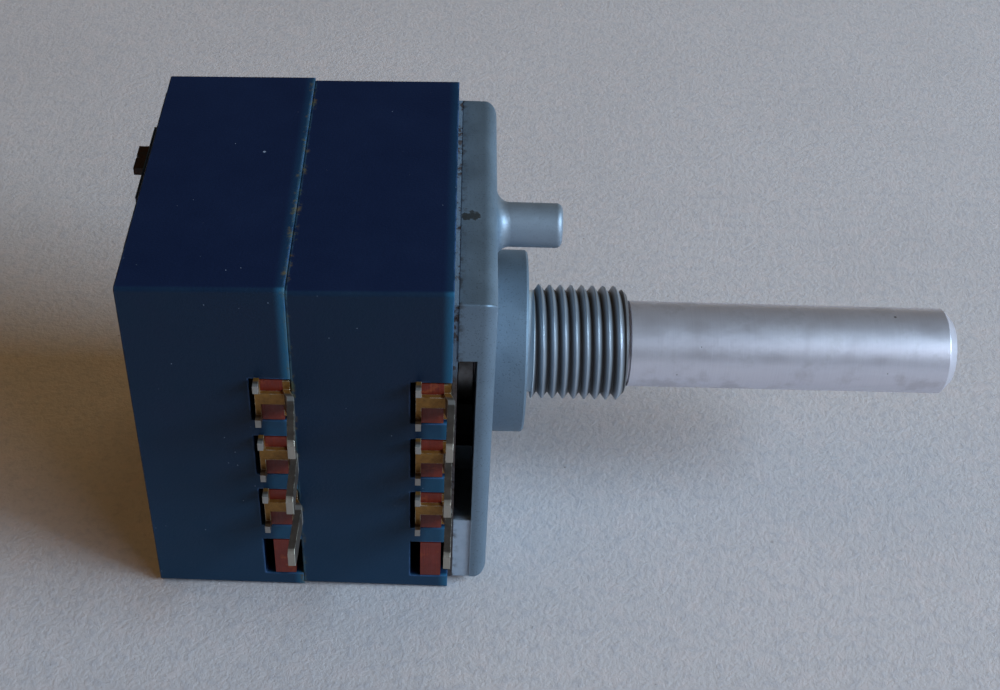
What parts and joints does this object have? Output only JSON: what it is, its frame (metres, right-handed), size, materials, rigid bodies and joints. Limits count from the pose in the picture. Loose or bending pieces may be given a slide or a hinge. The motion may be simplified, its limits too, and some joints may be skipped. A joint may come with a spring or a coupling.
{
  "type": "dual-gang rotary potentiometer",
  "caption": "Rotary potentiometer with two box housings in line, solder terminals on one side, a die-cast plate with locating pin, a threaded bush and a plain round shaft.",
  "frame": {"origin": "the shaft's axis in the mounting face, which is the front of the round boss", "axes": "+X along the shaft towards its free end, +Z towards the locating pin, -Y towards the solder terminals"},
  "size_m": [0.0565, 0.0276, 0.0271],
  "materials": {
    "zinc": "satin die-cast zinc, entered as cast_iron because its density is the nearest",
    "fibre": "matt vulcanised fibre",
    "turned_aluminium": "fine turned aluminium",
    "plated_steel": "zinc-plated sheet steel",
    "bronze": "bare sheet",
    "dark_steel": "blackened",
    "blue_moulding": "matt, fine mould grain",
    "laminate": "phenolic paper laminate",
    "carbon": "printed carbon film",
    "tinned_brass": "dull tin plate, brass at the bends",
    "rotor_moulding": "natural acetal"
  },
  "bodies": {
    "case": {"front_plate": "zinc", "insulator_sheet": "fibre", "tie_strap_top": "dark_steel", "tie_strap_bottom": "dark_steel", "front_housing": "blue_moulding", "front_board": "laminate", "front_track": "carbon", "front_collector": "bronze", "front_terminal_upper": "tinned_brass", "front_terminal_middle": "tinned_brass", "front_terminal_lower": "tinned_brass", "rear_housing": "blue_moulding", "rear_board": "laminate", "rear_track": "carbon", "rear_collector": "bronze", "rear_terminal_upper": "tinned_brass", "rear_terminal_middle": "tinned_brass", "rear_terminal_lower": "tinned_brass"},
    "spindle": {"shaft": "turned_aluminium", "thrust_washer": "bronze", "retaining_ring": "dark_steel", "stop_arm": "plated_steel", "front_rotor": "rotor_moulding", "front_wiper": "bronze", "rear_rotor": "rotor_moulding", "rear_wiper": "bronze"}
  },
  "joints": [
    {"name": "shaft_turn", "type": "hinge", "parent": "case", "child": "spindle", "pos_m": [0, 0, 0], "axis": [1, 0, 0], "range_deg": [-150, 150]}
  ]
}
